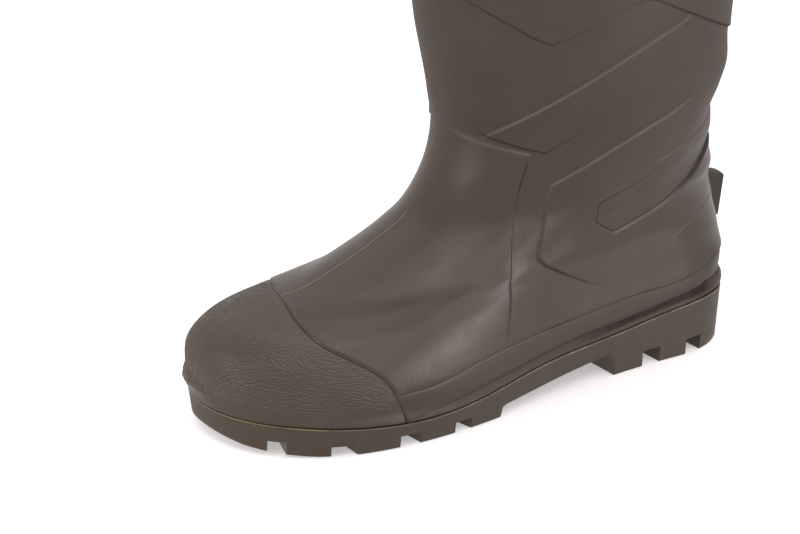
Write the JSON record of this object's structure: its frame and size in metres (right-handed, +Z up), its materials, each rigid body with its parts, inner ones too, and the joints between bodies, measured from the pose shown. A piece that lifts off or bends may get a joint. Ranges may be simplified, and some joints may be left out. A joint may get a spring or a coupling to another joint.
{
  "type": "wader boot",
  "caption": "Moulded waterproof wader boot for the left foot: hollow upper and shaft, textured toe cap, foxing band, kick-off lug, insole and lugged heeled outsole.",
  "frame": {"origin": "on the ground under the middle of the boot's bounding box", "axes": "+Z up, toe towards -Y, heel towards +Y, outer side of the left foot towards +X"},
  "size_m": [0.141, 0.3116, 0.285],
  "materials": {
    "upper_pvc": "satin dark brown-grey moulded PVC",
    "outsole_pvc": "matt dark brown moulded PVC with lugs",
    "insole_cloth": "knitted lining cloth",
    "toe_cap_pvc": "wrinkle-grained dark brown-grey PVC",
    "foxing_pvc": "satin dark brown-grey PVC",
    "kick_off_pvc": "satin dark brown-grey PVC"
  },
  "bodies": {
    "root": {"upper": "upper_pvc", "outsole": "outsole_pvc", "insole": "insole_cloth", "toe_cap": "toe_cap_pvc", "foxing_band": "foxing_pvc", "kick_off_lug": "kick_off_pvc"}
  },
  "joints": []
}
